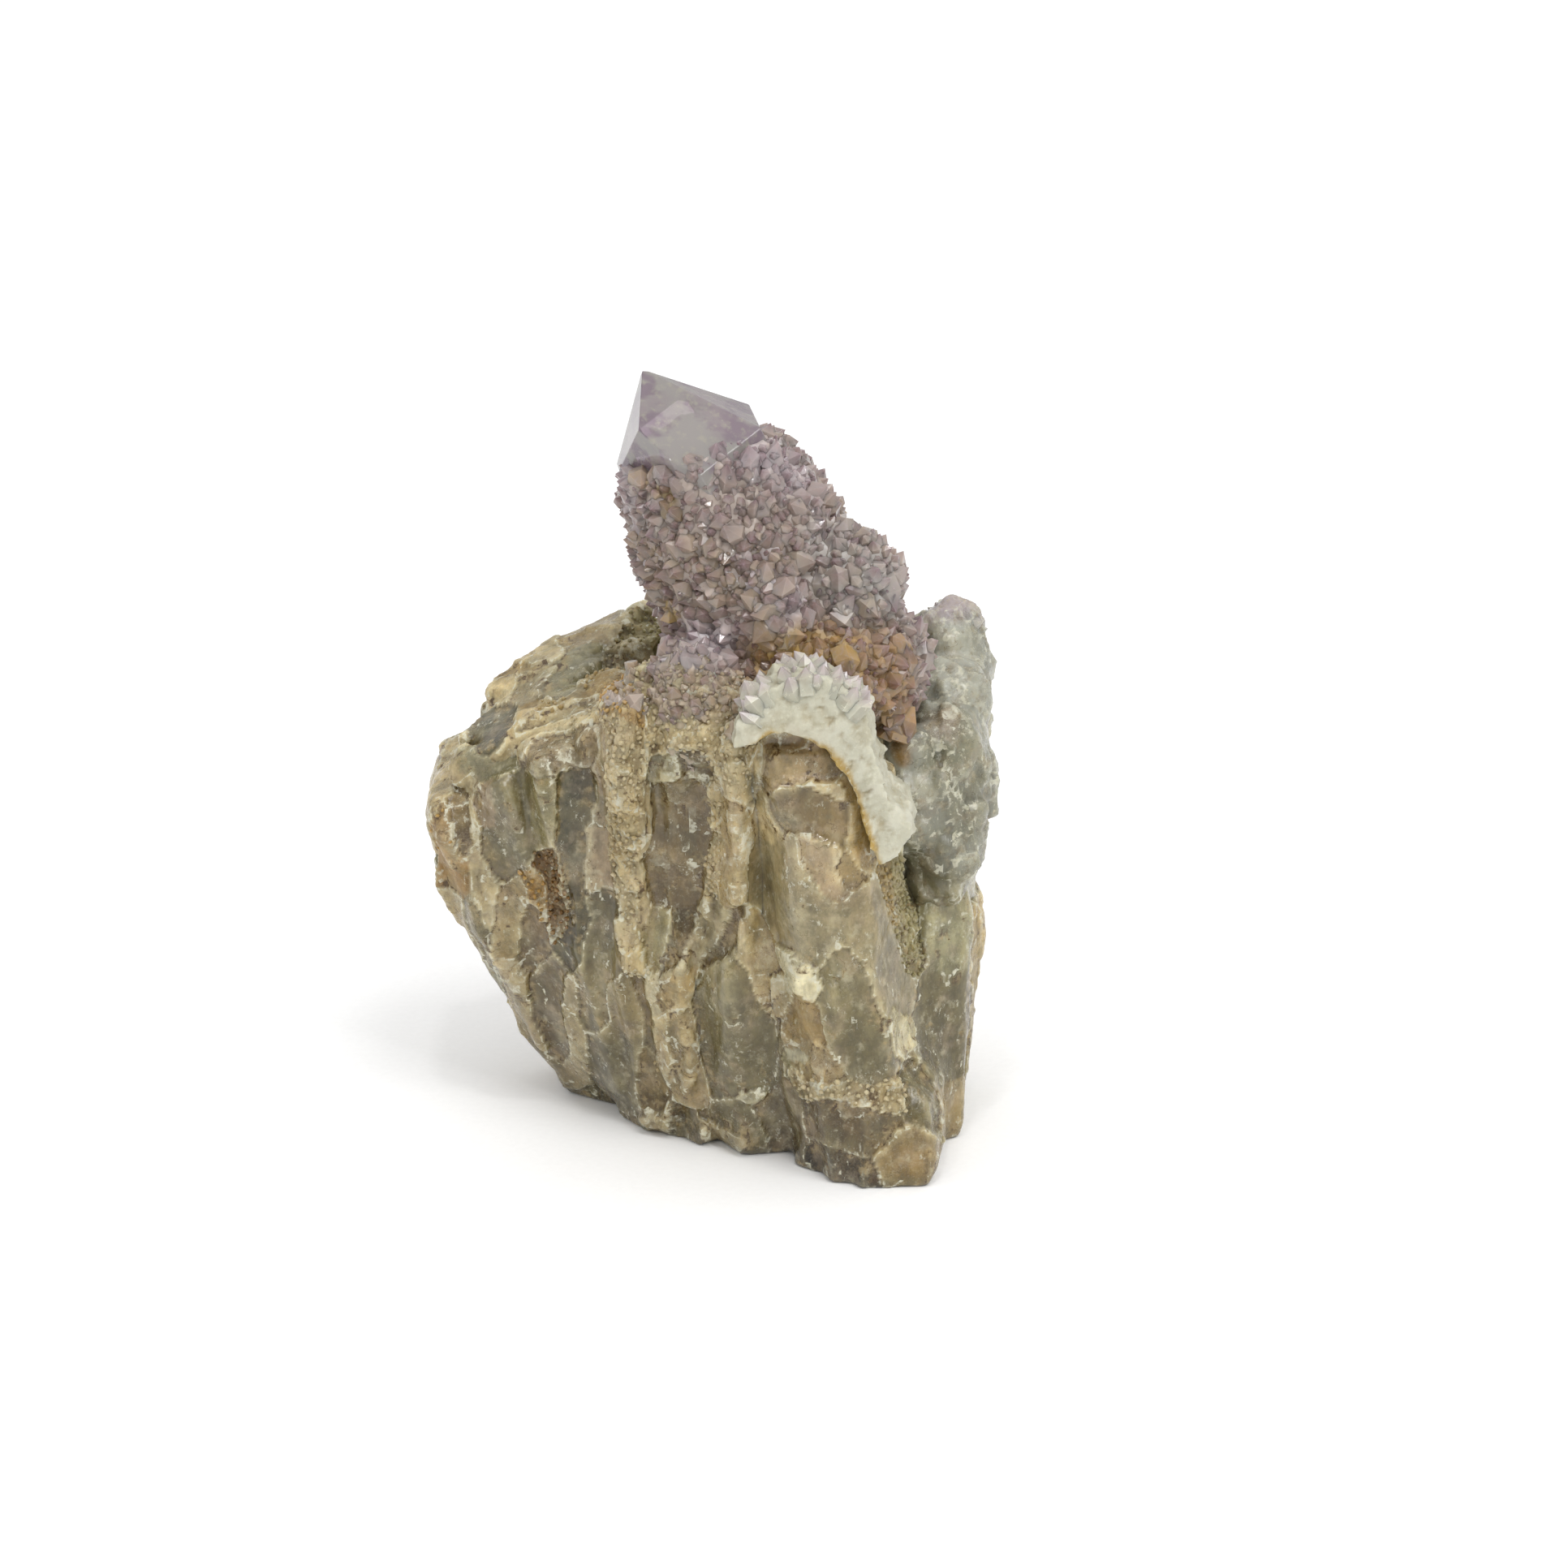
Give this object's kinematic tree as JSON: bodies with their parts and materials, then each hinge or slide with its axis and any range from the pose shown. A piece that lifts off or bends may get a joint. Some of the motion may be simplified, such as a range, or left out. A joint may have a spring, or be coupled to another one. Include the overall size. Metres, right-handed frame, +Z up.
{
  "type": "cactus quartz cluster",
  "caption": "Broken milky quartz columns that carry a leaning, druse-coated amethyst point with a clear tip, pale coated crystals on its right and a hooked white rind in front.",
  "frame": {"origin": "middle of the flat that the specimen stands on", "axes": "+Z up from the flat towards the clear tip, +X to the right in front view, +Y away from the viewer"},
  "size_m": [0.064, 0.0486, 0.0882],
  "materials": {
    "milky_quartz": "broken, waxy to sugary, with ochre stains",
    "amethyst": "glossy small crystal faces, clear at the tip",
    "pale_quartz": "glossy, milky and faintly green",
    "white_quartz": "sugary broken crust"
  },
  "bodies": {
    "root": {"quartz_base": "milky_quartz", "amethyst_spire": "amethyst", "pale_crystals": "pale_quartz", "white_rind": "white_quartz"}
  },
  "joints": []
}
